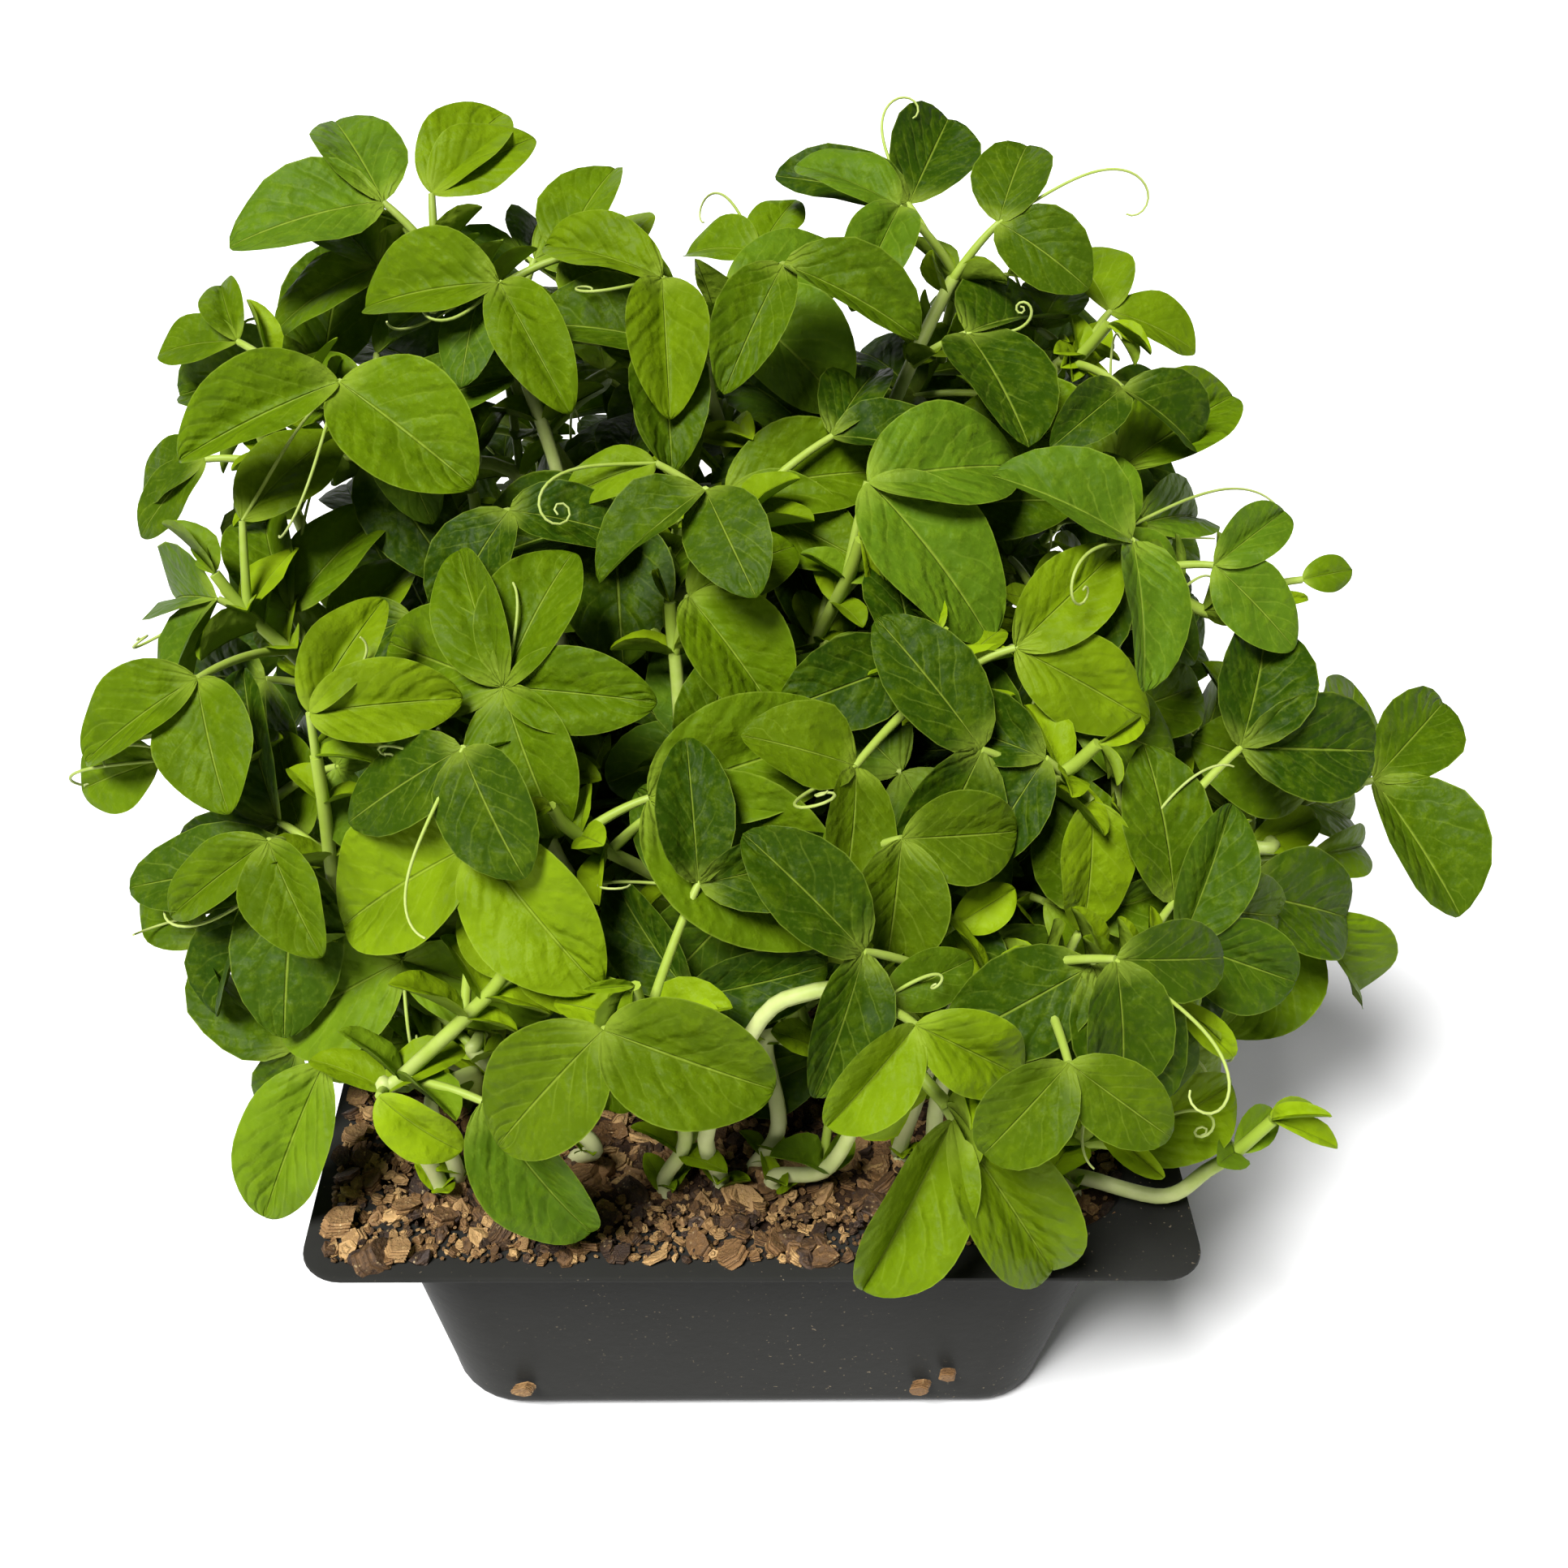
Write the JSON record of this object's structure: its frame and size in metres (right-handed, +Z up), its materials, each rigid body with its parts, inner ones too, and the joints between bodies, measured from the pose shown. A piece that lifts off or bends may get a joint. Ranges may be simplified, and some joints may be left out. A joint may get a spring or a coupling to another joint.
{
  "type": "pea shoot microgreens tray",
  "caption": "Square black plastic growing tray with a flat rim, filled with a granular medium and a crown of leafy pea shoots.",
  "frame": {"origin": "middle of the tray's flat underside", "axes": "+Z up, -Y towards the front, where the shoots are lowest, +X to the right"},
  "size_m": [0.1993, 0.1729, 0.1741],
  "materials": {
    "tray_plastic": "thin thermoformed black plastic, satin",
    "medium": "moist golden-brown mineral flakes, rough with a little glint",
    "loose_grain": "dry tan mineral flake",
    "shoot": "live pea leaves and stems, mid green, soft waxy sheen"
  },
  "bodies": {
    "root": {"tray": "tray_plastic", "growing_medium": "medium", "wall_grain_1": "loose_grain", "wall_grain_2": "loose_grain", "wall_grain_3": "loose_grain", "rim_grain_1": "loose_grain", "rim_grain_2": "loose_grain", "rim_grain_3": "loose_grain", "rim_grain_4": "loose_grain", "shoot_01": "shoot", "shoot_02": "shoot", "shoot_03": "shoot", "shoot_04": "shoot", "shoot_05": "shoot", "shoot_06": "shoot", "shoot_07": "shoot", "shoot_08": "shoot", "shoot_09": "shoot", "shoot_10": "shoot", "shoot_11": "shoot", "shoot_12": "shoot", "shoot_13": "shoot", "shoot_14": "shoot", "shoot_15": "shoot", "shoot_16": "shoot", "shoot_17": "shoot", "shoot_18": "shoot", "shoot_19": "shoot", "shoot_20": "shoot", "shoot_21": "shoot", "shoot_22": "shoot", "shoot_23": "shoot", "shoot_24": "shoot", "shoot_25": "shoot", "shoot_26": "shoot", "shoot_27": "shoot", "shoot_28": "shoot", "shoot_29": "shoot", "shoot_30": "shoot", "shoot_31": "shoot", "shoot_32": "shoot", "shoot_33": "shoot", "shoot_34": "shoot", "shoot_35": "shoot", "shoot_36": "shoot", "shoot_37": "shoot", "shoot_38": "shoot", "shoot_39": "shoot", "shoot_40": "shoot", "shoot_41": "shoot", "shoot_42": "shoot", "shoot_43": "shoot", "shoot_44": "shoot", "shoot_45": "shoot", "shoot_46": "shoot", "shoot_47": "shoot", "shoot_48": "shoot", "shoot_49": "shoot"}
  },
  "joints": []
}
